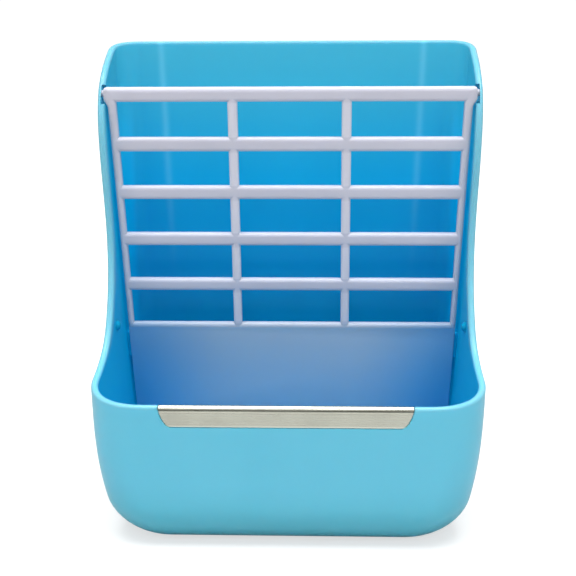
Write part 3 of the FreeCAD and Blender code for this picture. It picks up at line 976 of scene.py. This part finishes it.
def build_washer(name, x):
    """Dished disc with four teeth round the bore."""
    z0, z1 = WASHER
    count = 96
    profile = [     # (radius, z, how far the notches between the teeth cut outwards)
        (1.56, z1 - 0.02, 0.85), (2.2, z1 - 0.22, 0.35), (2.9, z0 + WASHER_THICK + 0.02, 0),
        (4.2, z0 + WASHER_THICK, 0), (4.5, z0 + WASHER_THICK - 0.1, 0), (WASHER_R, z0 + 0.22, 0),
        (4.52, z0 + 0.04, 0), (4.3, z0, 0), (3.0, z0, 0), (2.3, z0 + 0.3, 0.35),
        (1.56, z1 - 0.5, 0.85)]
    rings = []
    for radius, z, notch in profile:
        ring = []
        for i in range(count):
            t = 2 * PI * i / count
            r = radius + notch * (0.5 + 0.5 * math.tanh((math.cos(4 * t) - 0.55) * 9))
            ring.append((x + r * math.cos(t), HOOK_D + r * math.sin(t), z))
        rings.append(to_m(ring))
    return clean(loft(name, rings, wrap=True), 1e-6, 40)


SIDES = (("left", -1), ("right", 1))
hooks, springs, washers = {}, {}, {}
for side, sx in SIDES:
    hooks[side] = sweep("hook_wire_" + side, hook_path(sx * HOOK_X), HOOK_R,
                        sides=24, start_round=0.5, tip_round=1.0)
    springs[side] = sweep("hook_coil_" + side, spring_path(sx * HOOK_X), SPRING_WIRE_R,
                          sides=12, start_round=0.3, tip_round=0.3)
    washers[side] = build_washer("hook_clip_" + side, sx * HOOK_X)


# ------------------------------------------------- attributes the shell's plastic reads
RIM_REACH = 0.007       # metres over which "rim" falls from 1 to 0


def mirrored_tree(points):
    tree = KDTree(2 * len(points))
    for k, p in enumerate(points):
        tree.insert(Vector(p), k)
        tree.insert(Vector((-p[0], p[1], p[2])), k)
    tree.balance()
    return tree


def point_attribute(ob, name, value):
    layer = ob.data.attributes.new(name, "FLOAT", "POINT")
    layer.data.foreach_set("value", [value(v.co) for v in ob.data.vertices])


rim_tree = mirrored_tree(rim_path)
outer_tree, inner_tree = (mirrored_tree(points) for points in skin_points)
point_attribute(shell, "rim", lambda co: max(0.0, 1 - rim_tree.find(co)[2] / RIM_REACH))
# 0 on the outer skin, 1 on the inner
point_attribute(shell, "inner", lambda co: min(1.0, max(0.0, 0.5 + (
    outer_tree.find(co)[2] - inner_tree.find(co)[2]) / 0.0033)))


# ------------------------------------------------------------------ materials
class Nodes:
    """Small helper to write node trees; lengths in the trees are in metres."""

    def __init__(self, name):
        self.material = bpy.data.materials.new(name)
        self.material.use_nodes = True
        self.tree = self.material.node_tree
        self.shader = self.tree.nodes["Principled BSDF"]
        self.coords = self.node("ShaderNodeTexCoord").outputs["Object"]

    def node(self, kind, **settings):
        node = self.tree.nodes.new(kind)
        for key, value in settings.items():
            setattr(node, key, value)
        return node

    def link(self, a, b):
        self.tree.links.new(a, b)

    def put(self, node, key, value):
        """Link a socket, or set a plain value."""
        if isinstance(value, bpy.types.NodeSocket):
            self.link(value, node.inputs[key])
        else:
            node.inputs[key].default_value = value

    def surface(self, **values):
        """Principled inputs, their spaces written as underscores."""
        for key, value in values.items():
            self.put(self.shader, key.replace("_", " "), value)

    def attribute(self, name):
        return self.node("ShaderNodeAttribute", attribute_name=name).outputs["Fac"]

    def scaled(self, *scale):
        node = self.node("ShaderNodeMapping")
        self.link(self.coords, node.inputs["Vector"])
        node.inputs["Scale"].default_value = scale
        return node.outputs["Vector"]

    def noise(self, scale, detail=3.0, rough=0.5, vector=None, distortion=0.0):
        node = self.node("ShaderNodeTexNoise")
        self.link(vector or self.coords, node.inputs["Vector"])
        for key, value in (("Scale", scale), ("Detail", detail), ("Roughness", rough),
                           ("Distortion", distortion)):
            node.inputs[key].default_value = value
        return node.outputs["Fac"]

    def ramp(self, value, start, end, low=0.0, high=1.0, smooth=True):
        """low at start, high at end, held beyond; start may be the larger."""
        node = self.node("ShaderNodeMapRange")
        node.interpolation_type = "SMOOTHSTEP" if smooth else "LINEAR"
        for key, v in (("Value", value), ("From Min", start), ("From Max", end),
                       ("To Min", low), ("To Max", high)):
            self.put(node, key, v)
        return node.outputs["Result"]

    def math(self, operation, a, b=0.0, clamp=False):
        node = self.node("ShaderNodeMath", operation=operation, use_clamp=clamp)
        for key, value in enumerate((a, b, 0.0)):
            self.put(node, key, value)
        return node.outputs[0]

    def mul(self, a, *others):
        for b in others:
            a = self.math("MULTIPLY", a, b)
        return a

    def plus(self, a, b, clamp=False):
        return self.math("ADD", a, b, clamp)

    def minus(self, a, b):
        return self.math("SUBTRACT", a, b)

    def bell(self, value, width):
        """exp(-(value / width)^2)"""
        g = self.math("DIVIDE", value, width)
        return self.math("EXPONENT", self.mul(g, g, -1.0))

    def mix(self, factor, a, b):
        node = self.node("ShaderNodeMix", data_type="RGBA", blend_type="MIX")
        self.put(node, 0, factor)
        for key, value in ((6, a), (7, b)):
            self.put(node, key, value + (1.0,) if isinstance(value, tuple) else value)
        return node.outputs[2]

    def xyz(self):
        node = self.node("ShaderNodeSeparateXYZ")
        self.link(self.coords, node.inputs[0])
        return node.outputs

    def edges(self, radius):
        """0 on open faces and up to 1 on edges; also the rounded normal."""
        bevel = self.node("ShaderNodeBevel", samples=4)
        bevel.inputs["Radius"].default_value = radius
        dot = self.node("ShaderNodeVectorMath", operation="DOT_PRODUCT")
        self.link(bevel.outputs[0], dot.inputs[0])
        self.link(self.node("ShaderNodeNewGeometry").outputs["Normal"], dot.inputs[1])
        return self.ramp(dot.outputs["Value"], start=0.955, end=0.75), bevel.outputs[0]

    def bump(self, height, distance, strength, normal=None):
        node = self.node("ShaderNodeBump")
        node.inputs["Strength"].default_value = strength
        node.inputs["Distance"].default_value = distance
        self.link(height, node.inputs["Height"])
        if normal is not None:
            self.link(normal, node.inputs["Normal"])
        return node.outputs["Normal"]


def plastic_finish(n, base, worn, cloud_scale, rough, peel_scale, bump, scatter, scatter_scale):
    """Colour, clouded roughness (low, high), fine bump (distance, strength) and scattering."""
    clouds = n.noise(scale=cloud_scale, detail=4.0, rough=0.6)
    height = n.plus(n.mul(n.noise(scale=2600, detail=2.0), 0.25),
                    n.noise(scale=peel_scale, detail=2.0))
    n.surface(
        Base_Color=base,
        Roughness=n.plus(n.ramp(clouds, start=0.3, end=0.7, low=rough[0], high=rough[1]),
                         n.mul(worn, 0.15)),
        Normal=n.bump(height, *bump),
        IOR=1.49,
        Subsurface_Weight=0.35,
        Subsurface_Radius=scatter,
        Subsurface_Scale=scatter_scale)


BLUE_A, BLUE_B = (0.105, 0.475, 0.63), (0.112, 0.485, 0.64)     # outside, gently mottled
BLUE_FOOT_SHADE = (0.074, 0.415, 0.53)            # painted shade on the outside, near the floor
BLUE_IN_SHADE = (0.003, 0.38, 0.65)               # painted shade: inside, a darker and deeper blue than outside
BLUE_DEEP_SHADE = (0.0003, 0.285, 0.60)           # painted shade, low on the inside of the back wall
BLUE_TOP_SHADE = (0.045, 0.36, 0.52)              # painted shade: inside, near the top, duller
# painted glow along the rim, duller at the crest
BLUE_RIM_GLOW, BLUE_CREST_GLOW = (0.185, 0.46, 0.55), (0.14, 0.34, 0.42)
# painted shade on the domes, painted highlight on the rib marks, and edge wear
BLUE_NUB_SHADE, BLUE_RIB_HIGHLIGHT, BLUE_WORN = (0.001, 0.11, 0.20), (0.20, 0.60, 0.78), (0.20, 0.55, 0.68)
# colour of the painted glow inside the side walls
BLUE_GLOW = (0.0, 0.24, 0.52, 1)
# shares of the painted rim glow, lip glow and rib highlight, darkness of the painted shade on the
# domes, strength of the painted glow
RIM_GLOW_MIX, LIP_GLOW_MIX, RIB_HIGHLIGHT_MIX, NUB_SHADE, GLOW_STRENGTH = 0.75, 0.6, 0.27, 0.36, 0.16


def shell_plastic():
    n = Nodes("shell_plastic_blue")
    x, y, z = n.xyz()
    side = n.math("ABSOLUTE", x)
    rim, inner = n.attribute("rim"), n.attribute("inner")
    flow = n.noise(scale=1.0, vector=n.scaled(22, 22, 9), distortion=0.6)
    base = n.mix(n.ramp(flow, start=0.3, end=0.7), BLUE_A, BLUE_B)
    # painted shade: the outside darkens towards the floor
    base = n.mix(n.ramp(z, start=0.034, end=0.004), base, BLUE_FOOT_SHADE)
    # painted shade: the inside is a darker, deeper copy of the blue, deepest low on the back wall and
    # duller near the top
    back = n.mul(n.ramp(y, start=0.040, end=0.049), n.ramp(z, start=0.22, end=0.10))
    inside = n.mix(n.ramp(z, start=0.235, end=0.15), BLUE_TOP_SHADE, n.mix(back, BLUE_IN_SHADE, BLUE_DEEP_SHADE))
    base = n.mix(inner, base, inside)
    # painted glow: the moulding is thin and lets light in along its rim, so the rim is painted paler
    base = n.mix(n.mul(n.ramp(rim, start=0.60, end=0.80), RIM_GLOW_MIX), base,
                 n.mix(n.ramp(z, start=0.17, end=0.212), BLUE_RIM_GLOW, BLUE_CREST_GLOW))
    # and a painted glow a little further down the inside of the side walls
    lip = n.mul(inner, n.ramp(side, start=0.079, end=0.082), n.ramp(rim, start=0.10, end=0.62))
    lip = n.mul(lip, n.mul(n.ramp(z, start=0.074, end=0.09), n.ramp(z, start=0.205, end=0.185)))
    base = n.mix(n.mul(lip, LIP_GLOW_MIX), base, BLUE_RIM_GLOW)
    # painted shade on the small domes, which stand in the walls' shade
    off = [n.math("POWER", n.minus(a, b), 2.0) for a, b in (
        (side, (NUB_X - 1.0) * MM), (y, (NUB_D - MID_D) * MM), (z, NUB_Z * MM))]
    far = n.math("SQRT", n.plus(n.plus(off[0], off[1]), off[2]))
    base = n.mix(n.ramp(far, start=0.0042, end=0.0026, high=NUB_SHADE), base, BLUE_NUB_SHADE)
    # painted highlight along the rib marks inside the back wall
    slant = n.node("ShaderNodeMath", operation="MULTIPLY_ADD")
    for key, value in enumerate((z, RIB_SLANT, 0.0656 - RIB_SLANT * 0.215)):
        n.put(slant, key, value)
    rib = n.bell(n.minus(side, slant.outputs[0]), width=0.0017)
    on_back = n.mul(n.ramp(y, start=0.0475, end=0.0500, smooth=False),
                    n.ramp(y, start=0.0520, end=0.0515, smooth=False))
    rib = n.mul(rib, n.mul(on_back, n.ramp(z, start=0.10, end=0.20)))
    base = n.mix(n.mul(rib, RIB_HIGHLIGHT_MIX), base, BLUE_RIB_HIGHLIGHT)
    # rubbed edges, outside only
    wear = n.noise(scale=140, detail=4.0, rough=0.6)
    edge, _ = n.edges(radius=0.0005)
    worn = n.mul(edge, n.ramp(wear, start=0.45, end=0.75, low=0.15, high=0.6),
                 n.ramp(inner, start=0.95, end=0.6))
    base = n.mix(worn, base, BLUE_WORN)
    plastic_finish(n, base, worn, cloud_scale=60, rough=(0.285, 0.325), peel_scale=320,
                   bump=(0.00001, 0.08), scatter=(0.2, 0.8, 1.0), scatter_scale=0.004)
    # painted glow: emission stands in for light that comes through the thin wall where the grille
    # shades it
    behind = n.plus(n.mul(n.minus(y, (GRILLE_D - MID_D) * MM), math.cos(TILT)),
                    n.mul(n.minus(z, GRILLE_Z * MM), math.sin(TILT)))
    glow = n.mul(n.ramp(behind, start=-0.006, end=0.003), n.ramp(side, start=0.0795, end=0.0825))
    glow = n.mul(glow, n.mul(inner, n.ramp(z, start=0.205, end=0.18)))
    n.surface(Emission_Strength=n.mul(glow, GLOW_STRENGTH), Emission_Color=BLUE_GLOW,
              Specular_IOR_Level=n.ramp(inner, start=0.2, end=0.8, low=0.42, high=0.10))
    return n.material


LAV_A, LAV_B = (0.47, 0.47, 0.54), (0.50, 0.50, 0.57)       # gently mottled
LAV_SHEET, LAV_BLUE_REFLECTION = (0.56, 0.59, 0.60), (0.0, 0.30, 0.60)     # lower sheet, paler than the bars, and the painted reflection of the blue walls on it
LAV_LOW_REFLECTION, LAV_LIP_SHADE = (0.36, 0.47, 0.66), (0.24, 0.26, 0.34)   # painted blue reflection on the lower bars, painted shade on the lip's front face
# uprights painted paler as if lit, and worn edges
LAV_UPRIGHT_LIT, LAV_WORN = (0.62, 0.62, 0.68), (0.9, 0.9, 0.93)
# painted reflection of the blue walls: on the sheet everywhere, more lower down, more towards the
# sides; and on the lower bars
REFLECT_BASE, REFLECT_DOWN, REFLECT_SIDE, BAR_REFLECT = 0.03, 0.50, 0.50, 0.2
# amounts of the painted shade on the lip's face and the painted light on the uprights
LIP_SHADE, UPRIGHT_LIGHT = 0.36, 0.55


def grille_plastic():
    n = Nodes("grille_plastic_lavender")
    x, _, z = n.xyz()
    side = n.math("ABSOLUTE", x)
    flow = n.noise(scale=1.0, vector=n.scaled(16, 16, 16), distortion=0.4)
    base = n.mix(n.ramp(flow, start=0.3, end=0.7), LAV_A, LAV_B)
    # the solid lower sheet is paler than the bars, and takes a painted reflection of the blue walls
    # round it
    sheet = n.ramp(z, start=0.0885, end=0.0862)
    blue_reflection = n.plus(n.mul(n.ramp(z, start=0.118, end=0.045), REFLECT_DOWN),
                  n.mul(n.ramp(side, start=0.028, end=0.084), REFLECT_SIDE))
    blue_reflection = n.math("MULTIPLY", sheet, blue_reflection, clamp=True)
    blue_reflection = n.plus(n.mul(sheet, REFLECT_BASE), blue_reflection, clamp=True)
    base = n.mix(sheet, base, LAV_SHEET)
    base = n.mix(blue_reflection, base, LAV_BLUE_REFLECTION)
    # painted reflection of the blue trough on the lower bars
    base = n.mix(n.ramp(z, start=0.19, end=0.09) if BAR_REFLECT is None else
                 n.mul(n.ramp(z, start=0.19, end=0.09), BAR_REFLECT), base, LAV_LOW_REFLECTION)
    # painted shade on the lip's front face under its bright top, and painted light on the uprights
    lip = n.mul(n.ramp(z, start=0.0878, end=0.0871), n.ramp(z, start=0.0850, end=0.0858))
    base = n.mix(n.mul(lip, LIP_SHADE), base, LAV_LIP_SHADE)
    # painted light: the uprights are paler between the bars
    upright = n.math("ABSOLUTE", n.minus(side, MULLION_X * MM))
    upright = n.mul(n.ramp(upright, start=0.0027, end=0.0021),
                    n.ramp(z, start=0.0880, end=0.0895))
    row = n.math("FRACT", n.math("DIVIDE", n.minus(GRILLE_Z * MM, z),
                                 PITCH * math.cos(TILT) * MM))
    upright = n.mul(upright, n.mul(n.ramp(row, start=0.27, end=0.32),
                                   n.ramp(row, start=1.0, end=0.98)))
    base = n.mix(n.mul(upright, UPRIGHT_LIGHT), base, LAV_UPRIGHT_LIT)
    wear = n.noise(scale=160, detail=4.0, rough=0.6)
    edge, _ = n.edges(radius=0.0004)
    worn = n.mul(edge, n.ramp(wear, start=0.5, end=0.75, low=0.05, high=0.3))
    base = n.mix(worn, base, LAV_WORN)
    plastic_finish(n, base, worn, cloud_scale=70, rough=(0.30, 0.42), peel_scale=380,
                   bump=(0.00005, 0.3), scatter=(0.8, 0.85, 1.0), scatter_scale=0.003)
    n.surface(Specular_IOR_Level=0.4)
    return n.material


FOLD_Z = 68.42          # height of the strip's crease, in millimetres
# painted shade in the crease under the roll, and painted highlight along the strip's foot
CREASE_SHADE, FOOT_HIGHLIGHT = (0.06, 0.055, 0.04), (0.80, 0.80, 0.69)


def strip_shade_and_highlight(n, base):
    """Painted shade in the crease under the roll of the fold on the outer face, and a painted
    highlight along the foot.
    """
    _, y, z = n.xyz()
    crease_shade = n.mul(n.bell(n.minus(z, FOLD_Z * MM), width=0.00056),
                  n.ramp(y, start=-0.0528, end=-0.0533))
    patchy = n.ramp(n.noise(scale=90), start=0.3, end=0.7, low=0.85, high=1.0)
    base = n.mix(n.mul(crease_shade, patchy), base, CREASE_SHADE)
    # painted highlight along the strip's foot
    foot = n.ramp(z, start=(GUARD_FOOT + 1.0) * MM, end=(GUARD_FOOT + 0.4) * MM, high=0.55)
    return n.mix(foot, base, FOOT_HIGHLIGHT)


def metal(name, color, rough, brush, rub_and_glint=0.35, marks=None):
    """Brushed metal: brush scales the grain in x, y and z; the edges are brightened, partly as wear
    and partly as a painted highlight.
    """
    n = Nodes(name)
    brushed = n.noise(scale=1.0, rough=0.6, vector=n.scaled(*brush))
    cloud = n.noise(scale=55, detail=4.0, rough=0.6)
    spots = n.noise(scale=420, rough=0.6)
    edge, rounded = n.edges(radius=0.00025)
    tarnished, spotted, rubbed_and_lit = (tuple(c * k for c in color) for k in (0.9, 0.72, 1.35))
    base = n.mix(n.ramp(cloud, start=0.35, end=0.7), color, tarnished)
    base = n.mix(n.mul(n.ramp(spots, start=0.62, end=0.8), 0.25), base, spotted)
    # edges brightened, partly as wear and partly as a painted highlight
    base = n.mix(n.mul(edge, rub_and_glint), base, rubbed_and_lit)
    if marks:
        base = marks(n, base)
    grain = n.ramp(brushed, start=0.3, end=0.7, low=rough * 0.75, high=rough * 1.25)
    n.surface(Base_Color=base, Metallic=1.0,
              Roughness=n.plus(grain, n.ramp(cloud, start=0.4, end=0.75, high=0.06)),
              Normal=n.bump(brushed, distance=0.00002, strength=0.3, normal=rounded))
    return n.material


blue = shell_plastic()
lavender = grille_plastic()
satin_steel = metal("guard_steel_satin", color=(0.52, 0.52, 0.445), rough=0.28,
                    brush=(6, 1200, 1200), rub_and_glint=0.8, marks=strip_shade_and_highlight)
bright_steel = metal("wire_steel_bright", color=(0.66, 0.67, 0.69), rough=0.22,
                     brush=(1300, 1300, 8))
dark_steel = metal("spring_steel_dark", color=(0.50, 0.50, 0.51), rough=0.3,
                   brush=(900, 900, 900))
clip_steel = metal("clip_steel", color=(0.58, 0.58, 0.58), rough=0.32, brush=(700, 700, 700))


# ------------------------------------------------------------ pieces to the frame
def dress(ob, material, body, node):
    """Give a piece its material and slot, the body it rides and the piece it replaces."""
    ob.data.materials.clear()
    ob.data.materials.append(material)
    for poly in ob.data.polygons:
        poly.material_index = 0
    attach(ob, body)
    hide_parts(node)


dress(shell, blue, "shell", "hopper_shell")
dress(grille, lavender, "grille", "hay_grille")
dress(guard, satin_steel, "shell", "chew_guard")
for side, _ in SIDES:
    body = side + "_hook"
    dress(hooks[side], bright_steel, body, "hook_" + side)
    dress(springs[side], dark_steel, "shell", "hook_spring_" + side)
    dress(washers[side], clip_steel, body, "hook_washer_" + side)
for side, sx in SIDES:
    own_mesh(springs[side])


def close_up(ob, small=60):
    """Drop the patches of few faces that a join leaves inside the wall, and close cracks."""
    bm = bmesh.new()
    bm.from_mesh(ob.data)
    shared = {e for e in bm.edges if len(e.link_faces) > 2}
    seen, inside = set(), set()
    for first in [f for e in shared for f in e.link_faces]:
        if first in seen:
            continue
        patch, todo = {first}, [first]
        while todo:
            for e in todo.pop().edges:
                if e in shared:
                    continue
                for f in e.link_faces:
                    if f not in patch:
                        patch.add(f)
                        todo.append(f)
        seen |= patch
        if len(patch) < small:
            inside |= patch
    bmesh.ops.delete(bm, geom=list(inside), context="FACES_ONLY")
    bmesh.ops.delete(bm, geom=[e for e in bm.edges if not e.link_faces], context="EDGES")
    cracks = [e for e in bm.edges if len(e.link_faces) == 1]
    if cracks:
        for f in bmesh.ops.holes_fill(bm, edges=cracks, sides=0)["faces"]:
            f.smooth = False
            for e in f.edges:
                e.smooth = False
    bm.to_mesh(ob.data)
    bm.free()


close_up(shell)


# --------------------------------------------------------------------- studio
def camera():
    """Camera in front and above, placed by its bearing, elevation and roll."""
    bearing, elevation, roll = math.radians(1.97), math.radians(11.7), math.radians(-0.20)
    back = Vector((math.sin(bearing) * math.cos(elevation),
                   -math.cos(bearing) * math.cos(elevation), math.sin(elevation)))
    level = (-back).cross(Vector((0, 0, 1))).normalized()
    upright = level.cross(-back)
    right = math.cos(roll) * level + math.sin(roll) * upright
    up = -math.sin(roll) * level + math.cos(roll) * upright
    cam = link("camera", bpy.data.cameras.new("camera"))
    cam.data.sensor_width = 36.0
    cam.data.lens = 68.75
    cam.data.clip_start = 0.01
    matrix = Matrix((right, up, back)).transposed().to_4x4()
    matrix.translation = Vector((0.017128, -0.513758, 0.218650))
    cam.matrix_world = matrix
    SC.camera = cam


def build_floor():
    """Paper with a painted glow that the camera sees, growing away from the object over a dim
    diffuse, so that it looks white round the object.
    """
    floor = new_mesh("floor", [(-30, -30, 0), (30, -30, 0), (30, 30, 0), (-30, 30, 0)],
                     [(0, 1, 2, 3)], smooth=False)
    n = Nodes("floor_paper")
    paper = n.mix(n.ramp(n.noise(scale=30, detail=4.0), start=0.3, end=0.7),
                  (0.54, 0.54, 0.54), (0.56, 0.56, 0.56))
    n.surface(Base_Color=paper, Roughness=0.85, Specular_IOR_Level=0.05)
    # the camera sees a glow that grows away from the object, over a dim diffuse
    away = n.node("ShaderNodeVectorMath", operation="LENGTH")
    n.link(n.coords, away.inputs[0])
    glow = n.node("ShaderNodeEmission")
    n.put(glow, "Color", (1, 1, 1, 1))
    n.put(glow, "Strength", n.ramp(away.outputs["Value"], start=0.05, end=0.55,
                                   low=0.62, high=1.05))
    dim = n.node("ShaderNodeBsdfDiffuse")
    n.put(dim, "Color", (0.42, 0.42, 0.42, 1))
    seen = n.node("ShaderNodeAddShader")
    n.link(glow.outputs[0], seen.inputs[0])
    n.link(dim.outputs[0], seen.inputs[1])
    choice = n.node("ShaderNodeMixShader")
    n.link(n.node("ShaderNodeLightPath").outputs["Is Camera Ray"], choice.inputs[0])
    n.link(n.shader.outputs[0], choice.inputs[1])
    n.link(seen.outputs[0], choice.inputs[2])
    n.link(choice.outputs[0], n.tree.nodes["Material Output"].inputs["Surface"])
    floor.data.materials.append(n.material)


def build_world(lighting, backdrop):
    """White world, with one strength for lighting and another as the camera sees it."""
    world = bpy.data.worlds.new("studio")
    SC.world = world
    world.use_nodes = True
    tree = world.node_tree
    light, seen = tree.nodes["Background"], tree.nodes.new("ShaderNodeBackground")
    choice = tree.nodes.new("ShaderNodeMixShader")
    rays = tree.nodes.new("ShaderNodeLightPath")
    tree.links.new(rays.outputs["Is Camera Ray"], choice.inputs[0])
    for k, (node, strength) in enumerate(((light, lighting), (seen, backdrop))):
        node.inputs["Color"].default_value = (1, 1, 1, 1)
        node.inputs["Strength"].default_value = strength
        tree.links.new(node.outputs[0], choice.inputs[k + 1])
    tree.links.new(choice.outputs[0], tree.nodes["World Output"].inputs["Surface"])


def area(name, place, size, power, target=(0, 0, 0.1)):
    """Rectangular light aimed at target, unseen by the camera; size is (x, y)."""
    light = bpy.data.lights.new(name, "AREA")
    light.shape = "RECTANGLE"
    light.size, light.size_y = size
    light.energy = power
    ob = link(name, light)
    ob.location = place
    ob.rotation_euler = (Vector(target) - Vector(place)).to_track_quat("-Z", "Y").to_euler()
    ob.visible_camera = False


camera()
build_floor()
build_world(lighting=0.36, backdrop=1.05)
area("top_softbox", place=(0.0, -0.15, 0.95), size=(0.9, 0.7), power=15.0, target=(0, 0.03, 0.1))
area("front_fill", place=(0.1, -1.4, 0.75), size=(1.4, 0.9), power=5.6)
for side, sx in SIDES:
    area(side + "_strip", place=(sx * 0.9, -0.55, 0.35), size=(0.35, 1.0), power=1.6)

SC.view_settings.view_transform = "Standard"
SC.view_settings.look = "None"
